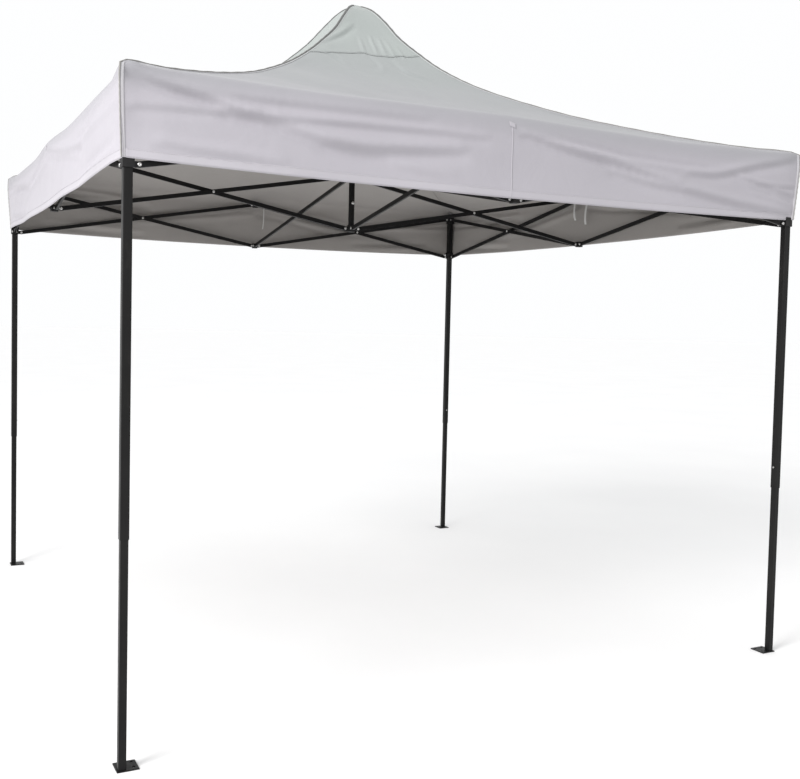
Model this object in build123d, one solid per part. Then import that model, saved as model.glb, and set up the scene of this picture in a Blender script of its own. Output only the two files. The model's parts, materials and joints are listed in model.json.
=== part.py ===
from build123d import *
import os
from math import atan2, cos, degrees, radians, sin, sqrt

# Pop-up canopy with a square plan: four telescoping legs, a folding scissor frame, a centre
# mast and a fabric top. Millimetres. Origin on the ground under the mast, +Z up, front is -Y.

# ---------------------------------------------------------------- driving dimensions
HALF = 1460.0            # mast axis to leg axis, along X and along Y
Z_TOP = 2195.0           # height of the upper row of pivots
Z_LOW = 1935.0           # height of the lower row of pivots (sliders, lower hub)
HUB_OFF = 33.0           # mast axis to a hub pivot
MID_RAD = 27.0           # mid-side joint axis to its inward pivot
MID_OFF = 25.0           # mid-side joint axis to its sideways pivots
LEG_OFF = 35.0           # leg axis to a bracket or slider pivot
BAR_H = 20.0             # scissor bar section height
BAR_T = 10.0             # scissor bar section thickness
BAR_WALL = 0.8
BAR_SIDE = 6.0           # bar centre plane to truss plane
PIN_R = 3.0              # rivet radius
HOLE_R = 3.3             # running hole for a rivet
OUTER_LEG = 30.0         # outer leg square section
OUTER_WALL = 1.2
INNER_LEG = 26.0         # inner leg square section
INNER_WALL = 1.2
OUTER_Z0 = 750.0         # bottom end of the outer leg
OUTER_Z1 = 2226.0        # top end of the outer leg
INNER_Z1 = 1130.0        # top end of the inner leg
BUTTON_Z = (843.0, 936.0, 1029.0)   # height positions in the outer leg; the lowest is in use
BUTTON_HOLE_R = 4.2
FOOT_T = 4.0
FOOT_OUT = 18.0          # foot plate, leg axis to its outer edges
FOOT_IN = 54.0           # foot plate, leg axis to its inner edges
STAKE_HOLE_R = 5.0
MAST_R = 15.0
MAST_WALL = 1.5
MAST_Z0 = 1925.0
MAST_Z1 = 3015.0
HUB_R = 20.0
EAVE = 1490.0            # mast axis to the fabric eave
VALANCE_Z0 = 1955.0      # lower hem of the valance
FABRIC_T = 2.0
# roof section: distance from the mast axis, height of the outer face
ROOF = [(0, 3053), (45, 3040), (85, 3003), (172, 2880), (260, 2788), (340, 2713), (486, 2607),
        (680, 2503), (810, 2444), (952, 2391), (1127, 2334), (1293, 2288), (1490, 2241)]

SPAN = HALF - LEG_OFF - MID_OFF
assert abs(SPAN - (HALF - HUB_OFF - MID_RAD)) < 1e-9
BAR_L = sqrt(SPAN ** 2 + (Z_TOP - Z_LOW) ** 2)
THETA = degrees(atan2(Z_TOP - Z_LOW, SPAN))
FOLDED = 84.0
print("bar length", round(BAR_L, 3), "rest angle", round(THETA, 4), "fold travel", round(FOLDED - THETA, 4))

SIDES = ["front", "right", "back", "left"]
CORNERS = ["fl", "fr", "br", "bl"]


def ycyl(r, y0, y1):
    """A cylinder along Y between two lateral positions."""
    lo, hi = min(y0, y1), max(y0, y1)
    return Pos(0, (lo + hi) / 2, 0) * Rot(90, 0, 0) * Cylinder(r, hi - lo)


def ybox(x0, x1, y0, y1, z0, z1):
    return Pos((x0 + x1) / 2, (y0 + y1) / 2, (z0 + z1) / 2) * Box(abs(x1 - x0), abs(y1 - y0), abs(z1 - z0))


def rivet(y0, y1):
    """A rivet along Y whose shank fills y0..y1, with a low head outside each end."""
    lo, hi = min(y0, y1), max(y0, y1)
    body = ycyl(PIN_R, lo - 1.6, hi + 1.6)
    return body + ycyl(5.0, lo - 1.6, lo - 0.05) + ycyl(5.0, hi + 0.05, hi + 1.6)


def make_bar(with_rivet):
    """A scissor bar along +X from its first pivot at the origin, hollow, with rounded ends."""
    h, t, w = BAR_H / 2, BAR_T / 2, BAR_WALL
    outer = ybox(0, BAR_L, -t, t, -h, h) + ycyl(h, -t, t) + Pos(BAR_L, 0, 0) * ycyl(h, -t, t)
    inner = (ybox(0, BAR_L, -t + w, t - w, -h + w, h - w) + ycyl(h - w, -t + w, t - w)
             + Pos(BAR_L, 0, 0) * ycyl(h - w, -t + w, t - w))
    mid_r = PIN_R if with_rivet else HOLE_R
    tube = outer - inner - ycyl(HOLE_R, -8, 8) - Pos(BAR_L, 0, 0) * ycyl(HOLE_R, -8, 8)
    tube -= Pos(BAR_L / 2, 0, 0) * ycyl(mid_r, -8, 8)
    return tube


BAR_RIVETED = make_bar(True)
BAR_PLAIN = make_bar(False)


def place_bar(x0, z0, x1, z1, side, riveted):
    """Solids of one scissor bar in a truss frame: pivots at (x0, z0) and (x1, z1), offset to the given side."""
    a = degrees(atan2(z1 - z0, x1 - x0))
    at = Pos(x0, side * BAR_SIDE, z0) * Rot(0, -a, 0)
    solids = [at * (BAR_RIVETED if riveted else BAR_PLAIN)]
    if riveted:
        c = Pos((x0 + x1) / 2, 0, (z0 + z1) / 2)
        half = BAR_SIDE + BAR_T / 2
        solids.append(c * rivet(-half, half))
        solids.append(c * (ycyl(9.0, -0.9, 0.9) - ycyl(PIN_R, -2, 2)))
    return solids


def fork(start, pivot, side):
    """Two cheeks along +X from a core to a pivot, around a bar on the given side of the truss plane, and its rivet."""
    pieces = []
    for lo, hi in ((BAR_SIDE - BAR_T / 2 - 3.5, BAR_SIDE - BAR_T / 2 - 0.5),
                   (BAR_SIDE + BAR_T / 2 + 0.5, BAR_SIDE + BAR_T / 2 + 3.5)):
        y0, y1 = side * lo, side * hi
        cheek = ybox(start, pivot, y0, y1, -9, 9) + Pos(pivot, 0, 0) * ycyl(9, y0, y1)
        pieces.append(cheek - Pos(pivot, 0, 0) * ycyl(PIN_R, -20, 20))
    pin = Pos(pivot, 0, 0) * rivet(side * (BAR_SIDE - BAR_T / 2 - 3.5), side * (BAR_SIDE + BAR_T / 2 + 3.5))
    return pieces, pin


def with_forks(core, forks):
    """A moulded joint body: the core fused with its cheeks, and the rivets as separate solids."""
    pins = []
    for start, pivot, side, turn in forks:
        cheeks, pin = fork(start, pivot, side)
        for c in cheeks:
            core = core + Rot(0, 0, turn) * c
        pins.append(Rot(0, 0, turn) * pin)
    return [core] + pins


def square_tube(size, wall, z0, z1, r):
    outer = Pos(0, 0, (z0 + z1) / 2) * extrude(RectangleRounded(size, size, r), (z1 - z0) / 2, both=True)
    inner = Pos(0, 0, (z0 + z1) / 2) * extrude(RectangleRounded(size - 2 * wall, size - 2 * wall, r - wall * 0.8), (z1 - z0) / 2 + 1, both=True)
    return outer - inner


parts = {}

# ---------------------------------------------------------------- mast, cap and hubs
mast = Pos(0, 0, (MAST_Z0 + MAST_Z1) / 2) * (Cylinder(MAST_R, MAST_Z1 - MAST_Z0) - Cylinder(MAST_R - MAST_WALL, MAST_Z1 - MAST_Z0 + 2))
bolt_z = (Z_TOP + Z_LOW) / 2
mast = mast - Pos(0, 0, bolt_z) * ycyl(2.5, -20, 20)
bolt = Pos(0, 0, bolt_z) * (ycyl(2.5, -15.2, 15.2) + ycyl(4.5, -18.2, -15.2) + ycyl(4.5, 15.2, 18.2))
parts["mast_tube"] = [mast, bolt]

with BuildPart() as cap_b:
    with BuildSketch(Plane.XZ):
        with BuildLine():
            Polyline((0, 3045), (14, 3044.4), (27, 3041), (38, 3034), (45.5, 3024), (49, 3012), (49, 3006), (45, 3006),
                     (41, 3014), (30, 3018), (18.5, 3018), (18.5, 2972), (15, 2972), (15, 3015), (0, 3015), (0, 3045))
        make_face()
    revolve(axis=Axis.Z)
parts["mast_cap"] = [cap_b.part]

hub_forks = [(12.0, HUB_OFF, +1, -90 + 90 * k) for k in range(4)]
parts["upper_hub"] = [Pos(0, 0, Z_TOP) * s for s in with_forks(Cylinder(HUB_R, 34), hub_forks)]
parts["upper_hub"][0] = parts["upper_hub"][0] - Pos(0, 0, Z_TOP) * Cylinder(MAST_R, 60)

low_core = Cylinder(HUB_R, 34)
hub_forks = [(12.0, HUB_OFF, -1, -90 + 90 * k) for k in range(4)]
parts["lower_hub"] = [Pos(0, 0, Z_LOW) * s for s in with_forks(low_core, hub_forks)]
parts["lower_hub"][0] = parts["lower_hub"][0] - Pos(0, 0, Z_LOW + 25 - 13) * Cylinder(MAST_R + 0.4, 50)

# ---------------------------------------------------------------- one side, made four times
OUT = -90  # a truss frame's +X turned to point from the mast to the front side
for k, name in enumerate(SIDES):
    turn = Rot(0, 0, 90 * k)
    to_side = turn * Pos(0, -HALF, 0)

    # interior truss, from the hubs to the mid-side joints
    u0, u1 = HUB_OFF, HALF - MID_RAD
    inward = turn * Rot(0, 0, OUT)
    parts[f"{name}_inner_bar_down"] = [inward * s for s in place_bar(u0, Z_TOP, u1, Z_LOW, +1, True)]
    parts[f"{name}_inner_bar_up"] = [inward * s for s in place_bar(u0, Z_LOW, u1, Z_TOP, -1, False)]

    # perimeter trusses: a from the left leg to the middle, b from the middle to the right leg
    xl, xm = -HALF + LEG_OFF, -MID_OFF
    parts[f"{name}_truss_a_down"] = [to_side * s for s in place_bar(xl, Z_TOP, xm, Z_LOW, +1, True)]
    parts[f"{name}_truss_a_up"] = [to_side * s for s in place_bar(xl, Z_LOW, xm, Z_TOP, -1, False)]
    parts[f"{name}_truss_b_down"] = [to_side * s for s in place_bar(-xm, Z_TOP, -xl, Z_LOW, -1, False)]
    parts[f"{name}_truss_b_up"] = [to_side * s for s in place_bar(-xm, Z_LOW, -xl, Z_TOP, +1, True)]

    # mid-side joints: two sideways forks and one inward fork
    # a fork's side is counted in its own turned frame: sideways to -X mirrors it
    mid_core = Box(28, 30, 30)
    top_forks = [(13, MID_OFF, -1, 0), (13, MID_OFF, +1, 180), (14, MID_RAD, +1, 90)]
    low_forks = [(13, MID_OFF, +1, 0), (13, MID_OFF, -1, 180), (14, MID_RAD, -1, 90)]
    parts[f"{name}_mid_top_joint"] = [to_side * Pos(0, 0, Z_TOP) * s for s in with_forks(mid_core, top_forks)]
    parts[f"{name}_mid_low_joint"] = [to_side * Pos(0, 0, Z_LOW) * s for s in with_forks(mid_core, low_forks)]

    # leg at the left end of the side
    c = CORNERS[k]
    at_leg = turn * Pos(-HALF, -HALF, 0)
    outer = square_tube(OUTER_LEG, OUTER_WALL, OUTER_Z0, OUTER_Z1, 3.5)
    for z in BUTTON_Z:
        outer -= Pos(0, 0, z) * ycyl(BUTTON_HOLE_R, 8, 20)
    parts[f"outer_leg_{c}"] = [at_leg * outer]

    bracket_core = ybox(-19, 19, -19, 19, Z_TOP - 25, OUTER_Z1 + 6) - ybox(-15, 15, -15, 15, Z_TOP - 40, OUTER_Z1)
    bracket = [Pos(0, 0, -Z_TOP) * bracket_core]
    bracket = with_forks(bracket[0], [(17, LEG_OFF, +1, 0), (17, LEG_OFF, -1, 90)])
    parts[f"leg_bracket_{c}"] = [at_leg * Pos(0, 0, Z_TOP) * s for s in bracket]

    slider_core = ybox(-19, 19, -19, 19, -11, 29) - Box(OUTER_LEG + 0.8, OUTER_LEG + 0.8, 90)
    slider = with_forks(slider_core, [(17, LEG_OFF, -1, 0), (17, LEG_OFF, +1, 90)])
    parts[f"slider_{c}"] = [at_leg * Pos(0, 0, Z_LOW) * s for s in slider]

    inner = square_tube(INNER_LEG, INNER_WALL, FOOT_T, INNER_Z1, 3.0) - Pos(0, 0, BUTTON_Z[0]) * ycyl(BUTTON_HOLE_R, 8, 20)
    plate = ybox(-FOOT_OUT, FOOT_IN, -FOOT_OUT, FOOT_IN, 0, FOOT_T)
    for hx, hy in ((40, 40), (40, 2), (2, 40)):
        plate -= Pos(hx, hy, 0) * Cylinder(STAKE_HOLE_R, 20)
    parts[f"inner_leg_{c}"] = [at_leg * inner, at_leg * plate]

    # snap button: a round stud on a leaf spring inside the inner leg
    stud = Pos(0, 0, BUTTON_Z[0]) * (ycyl(4.0, 7.5, 17.0) + ycyl(2.8, 16.9, 18.4))
    leaf = ybox(-5, 5, 6.5, 7.5, BUTTON_Z[0] - 60, BUTTON_Z[0] + 6)
    tail = ybox(-5, 5, -11.6, 6.6, BUTTON_Z[0] - 61, BUTTON_Z[0] - 60)
    parts[f"snap_button_{c}"] = [at_leg * (stud + leaf + tail)]

    # fabric panel: roof gore and valance in one folded sheet, mitred along the hips
    top = [(-r, z) for r, z in ROOF]
    under = [(-r, z - FABRIC_T) for r, z in ROOF[:-1]] + [(-EAVE + 0.0, ROOF[-1][1] - FABRIC_T)]
    outline = top + [(-EAVE - FABRIC_T, ROOF[-1][1] - 1.0), (-EAVE - FABRIC_T, VALANCE_Z0), (-EAVE, VALANCE_Z0)] + under[::-1]
    with BuildPart() as sheet_b:
        with BuildSketch(Plane.YZ):
            with BuildLine():
                Polyline(*outline, outline[0])
            make_face()
        extrude(amount=EAVE + 10, both=True)
    gap = 0.5
    with BuildPart() as wedge_b:
        with BuildSketch(Plane.XY.offset(1900)):
            with BuildLine():
                Polyline((0, -gap), (EAVE + 5, -EAVE - 5 - gap), (-EAVE - 5, -EAVE - 5 - gap), (0, -gap))
            make_face()
        extrude(amount=1300)
    parts[f"canopy_panel_{name}"] = [turn * (sheet_b.part & wedge_b.part)]

# ---------------------------------------------------------------- write one STEP per node
os.makedirs("parts", exist_ok=True)
for f in os.listdir("parts"):
    if f.endswith(".step"):
        os.remove(os.path.join("parts", f))


def flat(shapes):
    """Every solid of a node, in one list."""
    out = []
    for s in shapes:
        out.extend(s.solids())
    return out


assert len(parts) <= 60, len(parts)
for node, shapes in parts.items():
    export_step(Compound(children=flat(shapes)), os.path.join("parts", node + ".step"))
print(len(parts), "nodes")
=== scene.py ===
import bpy
import json
import math
import numpy as np
from mathutils import Matrix, Vector
from mathutils.bvhtree import BVHTree


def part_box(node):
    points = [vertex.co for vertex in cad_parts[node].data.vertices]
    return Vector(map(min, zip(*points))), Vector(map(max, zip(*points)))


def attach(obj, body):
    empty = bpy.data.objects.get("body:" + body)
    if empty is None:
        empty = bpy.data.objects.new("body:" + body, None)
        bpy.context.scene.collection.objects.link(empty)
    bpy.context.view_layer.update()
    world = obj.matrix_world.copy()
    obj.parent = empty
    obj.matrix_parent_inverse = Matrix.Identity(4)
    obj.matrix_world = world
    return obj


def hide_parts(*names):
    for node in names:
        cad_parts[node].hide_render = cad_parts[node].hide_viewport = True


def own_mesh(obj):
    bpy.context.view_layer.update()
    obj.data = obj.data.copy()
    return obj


# Pop-up canopy: the CAD frame gets its finishes, and the fabric top, its seams, its hardware
# and the rivet heads are built here. Metres, origin on the ground under the mast, front is -Y.

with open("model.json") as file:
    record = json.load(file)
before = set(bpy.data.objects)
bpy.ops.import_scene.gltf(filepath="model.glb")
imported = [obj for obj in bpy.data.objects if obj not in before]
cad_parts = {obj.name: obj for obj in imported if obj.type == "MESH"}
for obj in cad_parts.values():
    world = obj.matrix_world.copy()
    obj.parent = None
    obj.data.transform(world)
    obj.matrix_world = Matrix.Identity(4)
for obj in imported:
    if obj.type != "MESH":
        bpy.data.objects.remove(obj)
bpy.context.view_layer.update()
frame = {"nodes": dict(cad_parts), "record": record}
scene = bpy.context.scene
scene.view_settings.view_transform = "Standard"
scene.view_settings.look = "None"

SIDES = ["front", "right", "back", "left"]
CORNERS = ["fl", "fr", "br", "bl"]


# ---------------------------------------------------------------- positions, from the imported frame
PIVOT = {j["name"]: j.get("pos_m") for j in frame["record"]["behaviour"]["joints"]}
BAR_SIDE, HUB_OFF, Z_TOP = PIVOT["frame_fold"][0], -PIVOT["frame_fold"][1], PIVOT["frame_fold"][2]
Z_LOW = PIVOT["lower_hub_pivot"][2]
HALF = -PIVOT["front_truss_a_cross"][1]
MID_RAD = HALF + PIVOT["front_mid_top_pivot"][1]
MID_OFF = -PIVOT["front_truss_a_fold"][0]
LEG_OFF = HALF + PIVOT["leg_fl_pivot"][0]
BAR_T = min((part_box(n)[1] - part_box(n)[0]).x for n in ("front_inner_bar_up", "front_inner_bar_down"))
PANEL_LO, PANEL_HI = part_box("canopy_panel_front")
EAVE = -PANEL_LO.y - 0.002
print("frame", [round(float(x), 4) for x in (HALF, Z_TOP, Z_LOW, HUB_OFF, MID_RAD, MID_OFF, LEG_OFF, BAR_SIDE, BAR_T, EAVE, PANEL_LO.z, PANEL_HI.z)])


def cad_roof():
    """Height of the CAD fabric's outer face along the middle of the front side, as (distance from the mast, height)."""
    me = frame["nodes"]["canopy_panel_front"].data
    tree = BVHTree.FromPolygons([v.co.copy() for v in me.vertices], [tuple(p.vertices) for p in me.polygons])
    line = [(0.0, PANEL_HI.z)]
    for share in (0.0215, 0.0403, 0.0738, 0.1154, 0.1745, 0.2282, 0.3262, 0.4564, 0.5436, 0.6389, 0.7564, 0.8678, 0.9990):
        hit = tree.ray_cast(Vector((0.0007, -share * EAVE, PANEL_HI.z + 1)), Vector((0, 0, -1)))[0]
        if hit is not None:
            line.append((share * EAVE, hit.z))
    return np.array(line)


# ---------------------------------------------------------------- camera
def make_camera():
    eye = Vector((-2.1445, -4.5810, 1.4546))
    yaw, pitch, roll = (math.radians(x) for x in (26.837, -2.629, 1.232))
    d = Vector((math.cos(pitch) * math.sin(yaw), math.cos(pitch) * math.cos(yaw), math.sin(pitch)))
    r = Vector((math.cos(yaw), -math.sin(yaw), 0))
    u = r.cross(d)
    r2 = r * math.cos(roll) + u * math.sin(roll)
    u2 = -r * math.sin(roll) + u * math.cos(roll)
    cam = bpy.data.cameras.new("camera")
    cam.sensor_width = 36.0
    cam.lens = 981.1 * 36.0 / 800.0
    cam.shift_x = (400.0 - 378.2) / 800.0
    cam.shift_y = -(389.5 - 368.2) / 800.0
    cam.clip_end = 300
    ob = bpy.data.objects.new("camera", cam)
    scene.collection.objects.link(ob)
    ob.matrix_world = Matrix(((r2.x, u2.x, -d.x, eye.x), (r2.y, u2.y, -d.y, eye.y), (r2.z, u2.z, -d.z, eye.z), (0, 0, 0, 1)))
    scene.camera = ob


make_camera()


# ---------------------------------------------------------------- node helpers
class Nodes:
    """A small builder for one material's nodes."""

    def __init__(self, name):
        self.mat = bpy.data.materials.new(name)
        self.mat.use_nodes = True
        self.t = self.mat.node_tree
        self.t.nodes.clear()
        self.out = self.t.nodes.new("ShaderNodeOutputMaterial")
        self.shader = self.t.nodes.new("ShaderNodeBsdfPrincipled")
        self.t.links.new(self.shader.outputs[0], self.out.inputs[0])

    def new(self, kind, **values):
        n = self.t.nodes.new(kind)
        for k, v in values.items():
            setattr(n, k, v)
        return n

    def link(self, a, b):
        self.t.links.new(a, b)

    def noise(self, where, scale, detail=4.0, rough=0.55, distortion=0.0):
        n = self.new("ShaderNodeTexNoise")
        n.inputs["Scale"].default_value = scale
        n.inputs["Detail"].default_value = detail
        n.inputs["Roughness"].default_value = rough
        n.inputs["Distortion"].default_value = distortion
        self.link(where, n.inputs["Vector"])
        return n.outputs["Fac"]

    def scaled(self, where, sx, sy, sz, rz=0.0):
        m = self.new("ShaderNodeMapping")
        m.inputs["Scale"].default_value = (sx, sy, sz)
        m.inputs["Rotation"].default_value = (0, 0, rz)
        self.link(where, m.inputs["Vector"])
        return m.outputs["Vector"]

    def remap(self, value, a, b, c, d):
        m = self.new("ShaderNodeMapRange")
        m.inputs["From Min"].default_value = a
        m.inputs["From Max"].default_value = b
        m.inputs["To Min"].default_value = c
        m.inputs["To Max"].default_value = d
        self.link(value, m.inputs["Value"])
        return m.outputs["Result"]

    def math(self, op, a, b=None, c=None):
        m = self.new("ShaderNodeMath", operation=op)
        for i, x in enumerate((a, b, c)):
            if x is None:
                continue
            if isinstance(x, (int, float)):
                m.inputs[i].default_value = x
            else:
                self.link(x, m.inputs[i])
        return m.outputs[0]

    def mix(self, fac, a, b):
        m = self.new("ShaderNodeMix", data_type="RGBA")
        for i, x in ((0, fac), (6, a), (7, b)):
            if isinstance(x, (int, float, tuple)):
                m.inputs[i].default_value = x
            else:
                self.link(x, m.inputs[i])
        return m.outputs[2]

    def bump(self, height, strength, distance, normal=None):
        b = self.new("ShaderNodeBump")
        b.inputs["Strength"].default_value = strength
        b.inputs["Distance"].default_value = distance
        self.link(height, b.inputs["Height"])
        if normal is not None:
            self.link(normal, b.inputs["Normal"])
        return b.outputs["Normal"]

    def set(self, **values):
        for k, v in values.items():
            s = self.shader.inputs[k.replace("_", " ")]
            if isinstance(v, (int, float, tuple)):
                s.default_value = v
            else:
                self.link(v, s)


def coords(n):
    return n.new("ShaderNodeTexCoord").outputs["Object"]


def powder_coat(name, tone=0.0060):
    """Black satin powder coat: orange peel, dust in the lows, thin rubbed streaks."""
    n = Nodes(name)
    at = coords(n)
    broad = n.noise(at, 3.0, 5.0, 0.6)
    dust = n.noise(n.scaled(at, 1, 1, 0.35), 26.0, 6.0, 0.7)
    fine = n.noise(at, 900.0, 3.0, 0.6)
    c1 = n.mix(n.remap(broad, 0.3, 0.7, 0.0, 1.0), (tone * 0.75, tone * 0.76, tone * 0.80, 1), (tone * 1.5, tone * 1.46, tone * 1.42, 1))
    c2 = n.mix(n.remap(dust, 0.56, 0.80, 0.0, 0.45), c1, (0.022, 0.021, 0.020, 1))
    scratch = n.noise(n.scaled(at, 60, 60, 7), 6.0, 3.0, 0.65, 0.8)
    worn = n.remap(scratch, 0.73, 0.78, 0.0, 0.4)
    c3 = n.mix(worn, c2, (0.11, 0.108, 0.105, 1))
    n.set(Base_Color=c3, Roughness=n.remap(dust, 0.3, 0.8, 0.34, 0.54), Metallic=0.0, Specular_IOR_Level=0.15)
    n.set(Normal=n.bump(fine, 0.25, 0.00025, n.bump(dust, 0.12, 0.0006)))
    return n.mat


def moulded(name):
    """Black glass-filled nylon: matt, grained, a little greyer than the bars."""
    n = Nodes(name)
    at = coords(n)
    grain = n.noise(at, 1400.0, 2.0, 0.6)
    broad = n.noise(at, 18.0, 4.0, 0.6)
    c = n.mix(n.remap(broad, 0.35, 0.7, 0.0, 1.0), (0.006, 0.006, 0.0065, 1), (0.015, 0.0145, 0.014, 1))
    n.set(Base_Color=c, Roughness=n.remap(grain, 0.3, 0.7, 0.52, 0.68), Specular_IOR_Level=0.24)
    n.set(Normal=n.bump(grain, 0.35, 0.0002))
    return n.mat


def zinc(name):
    """Bright zinc-plated steel with a faint turned grain."""
    n = Nodes(name)
    at = coords(n)
    grain = n.noise(n.scaled(at, 1, 1, 14), 300.0, 3.0, 0.6)
    spots = n.noise(at, 120.0, 5.0, 0.6)
    c = n.mix(n.remap(spots, 0.35, 0.75, 0.0, 1.0), (0.62, 0.62, 0.61, 1), (0.42, 0.41, 0.40, 1))
    n.set(Base_Color=c, Metallic=1.0, Roughness=n.remap(grain, 0.3, 0.7, 0.22, 0.40))
    n.set(Normal=n.bump(grain, 0.2, 0.0002))
    return n.mat


def cloth(name, low, high, mid=None, creases=1.0):
    """Coated polyester: plain weave from the cloth's own UVs in metres, pressed-in packing creases, soft staining.
    low is the cloth's own colour, seen on the valance; mid is painted shade on the roof over the eave and high a
    painted sky-light tint near the peak; towards the hem the cloth is painted lighter, as painted light."""
    n = Nodes(name)
    at = coords(n)
    uv = n.new("ShaderNodeUVMap", uv_map="cloth").outputs["UV"]
    z = n.new("ShaderNodeSeparateXYZ")
    n.link(at, z.inputs[0])
    # painted shade on the roof over the eave, then a painted sky-light tint towards the peak, both set by height
    base = n.mix(n.remap(z.outputs["Z"], 2.16, 2.27, 0.0, 1.0), low, mid or low)
    base = n.mix(n.remap(z.outputs["Z"], 2.38, 2.84, 0.0, 1.0), base, high)
    # painted light: the cloth is painted lighter towards the hem
    hem = n.remap(z.outputs["Z"], 1.95, 2.07, 1.0, 0.0)
    base = n.mix(n.math("MULTIPLY", hem, 0.4), base, tuple(min(1.0, c * 1.10) for c in low[:3]) + (1,))
    broad = n.noise(at, 1.6, 4.0, 0.55)
    base = n.mix(n.remap(broad, 0.35, 0.68, 0.0, 0.28), base, tuple(c * 0.86 for c in low[:3]) + (1,))
    stain = n.noise(n.scaled(at, 1, 1, 0.6), 9.0, 6.0, 0.7)
    base = n.mix(n.remap(stain, 0.60, 0.78, 0.0, 0.16), base, tuple(c * k for c, k in zip(low[:3], (0.80, 0.79, 0.74))) + (1,))
    # threads, 0.9 mm apart, over and under
    w1 = n.new("ShaderNodeTexWave", wave_type="BANDS", bands_direction="X")
    w2 = n.new("ShaderNodeTexWave", wave_type="BANDS", bands_direction="Y")
    for w in (w1, w2):
        w.inputs["Scale"].default_value = 350.0
        w.inputs["Distortion"].default_value = 0.6
        w.inputs["Detail"].default_value = 1.0
        n.link(uv, w.inputs["Vector"])
    weave = n.math("MAXIMUM", w1.outputs["Fac"], w2.outputs["Fac"])
    slub = n.noise(n.scaled(uv, 900, 40, 1), 1.0, 2.0, 0.5)
    base = n.mix(n.remap(slub, 0.4, 0.75, 0.0, 0.07), base, tuple(c * 0.7 for c in low[:3]) + (1,))
    base = n.mix(n.remap(weave, 0.0, 0.6, 0.10, 0.0), base, tuple(c * 0.6 for c in low[:3]) + (1,))
    crumple = n.noise(uv, 5.5, 5.0, 0.62, 1.4)
    pucker = n.noise(n.scaled(uv, 1.0, 2.4, 1.0), 17.0, 4.0, 0.6, 0.6)
    nrm = n.bump(crumple, 0.35 * creases, 0.012)
    nrm = n.bump(pucker, 0.22 * creases, 0.004, nrm)
    nrm = n.bump(weave, 0.18, 0.0004, nrm)
    n.set(Base_Color=base, Roughness=n.remap(stain, 0.3, 0.8, 0.58, 0.74), Specular_IOR_Level=0.32, Sheen_Weight=0.18,
          Sheen_Roughness=0.45, Normal=nrm)
    return n.mat


FRAME_STEEL = powder_coat("frame_steel_coat")
FRAME_LEG = powder_coat("leg_steel_coat", 0.0065)
MOULDED = moulded("moulded_nylon")
ZINC = zinc("zinc_plate")
# In the cloths below, the first colour is the cloth's own; the second (near the peak) and third (roof over the eave)
# are painted light: a sky-light tint where greener, painted shade where darker.
CLOTH_PAINTED_LIGHT = cloth("canopy_polyester_painted_light", (0.358, 0.344, 0.374, 1), (0.318, 0.350, 0.336, 1), (0.220, 0.226, 0.236, 1), creases=0.55)
# painted shade: the underside is the canopy cloth darkened as if in shade, and darker still near the peak
CLOTH_UNDER_PAINTED_SHADE = cloth("canopy_underside_painted_shade", (0.276, 0.261, 0.248, 1), (0.242, 0.233, 0.221, 1), creases=0.5)
CLOTH_HEM = cloth("hem_polyester", (0.376, 0.362, 0.390, 1), (0.37, 0.38, 0.38, 1), creases=0.4)
# dark tape, painted darker towards the peak as painted shade
CLOTH_TAPE_PAINTED_SHADE = cloth("binding_tape_painted_shade", (0.27, 0.265, 0.255, 1), (0.095, 0.098, 0.096, 1), (0.17, 0.165, 0.155, 1), creases=0.2)
CLOTH_WELT = cloth("welt_polyester", (0.45, 0.44, 0.46, 1), (0.46, 0.485, 0.475, 1), (0.46, 0.46, 0.475, 1), creases=0.3)
CLOTH_SEAM = cloth("seam_tape", (0.31, 0.31, 0.32, 1), (0.298, 0.326, 0.314, 1), creases=0.3)
CLOTH_PATCH_PAINTED_LIGHT = cloth("cap_polyester_painted_light", (0.352, 0.340, 0.366, 1), (0.322, 0.358, 0.340, 1), (0.250, 0.258, 0.264, 1), creases=0.6)
THREAD = cloth("sewing_thread", (0.32, 0.31, 0.33, 1), (0.33, 0.355, 0.345, 1), creases=0.1)
STRAP = cloth("tie_webbing", (0.50, 0.495, 0.49, 1), (0.50, 0.495, 0.49, 1), creases=0.2)


# ---------------------------------------------------------------- finishes on the CAD nodes
def paint(node, mat):
    o = frame["nodes"][node]
    if not o.material_slots:
        o.data.materials.append(mat)
    for s in o.material_slots:
        s.material = mat


for node in frame["nodes"]:
    if node.startswith("canopy_panel"):
        continue
    if node.startswith("snap_button"):
        paint(node, ZINC)
    elif "hub" in node or "joint" in node or "bracket" in node or "slider" in node or node == "mast_cap":
        paint(node, MOULDED)
    elif "leg" in node:
        paint(node, FRAME_LEG)
    else:
        paint(node, FRAME_STEEL)


# ---------------------------------------------------------------- mesh helpers
def make_object(name, verts, faces, mat, uvs=None, smooth=True):
    me = bpy.data.meshes.new(name)
    me.from_pydata([tuple(v) for v in np.asarray(verts, float)], [], faces)
    me.update()
    layer = me.uv_layers.new(name="cloth")
    if uvs is not None:
        idx = np.zeros(len(me.loops), np.int32)
        me.loops.foreach_get("vertex_index", idx)
        layer.data.foreach_set("uv", np.asarray(uvs, np.float32)[idx].ravel())
    if smooth:
        me.polygons.foreach_set("use_smooth", np.ones(len(me.polygons), bool))
    me.materials.append(mat)
    ob = bpy.data.objects.new(name, me)
    scene.collection.objects.link(ob)
    return ob


def grid_faces(rows, cols, start=0, flip=False, wrap=False):
    out = []
    last = cols if wrap else cols - 1
    for i in range(rows - 1):
        for j in range(last):
            j2 = (j + 1) % cols
            a, b, c, d = start + i * cols + j, start + i * cols + j2, start + (i + 1) * cols + j2, start + (i + 1) * cols + j
            out.append((a, d, c, b) if flip else (a, b, c, d))
    return out


def solidify(ob, thickness, offset=-1.0, inside=None):
    m = ob.modifiers.new("thickness", "SOLIDIFY")
    if inside is not None:
        ob.data.materials.append(inside)
        m.material_offset = 1
        m.material_offset_rim = 0
    m.thickness = thickness
    m.offset = offset
    m.use_even_offset = False
    m.use_quality_normals = True
    return ob


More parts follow.
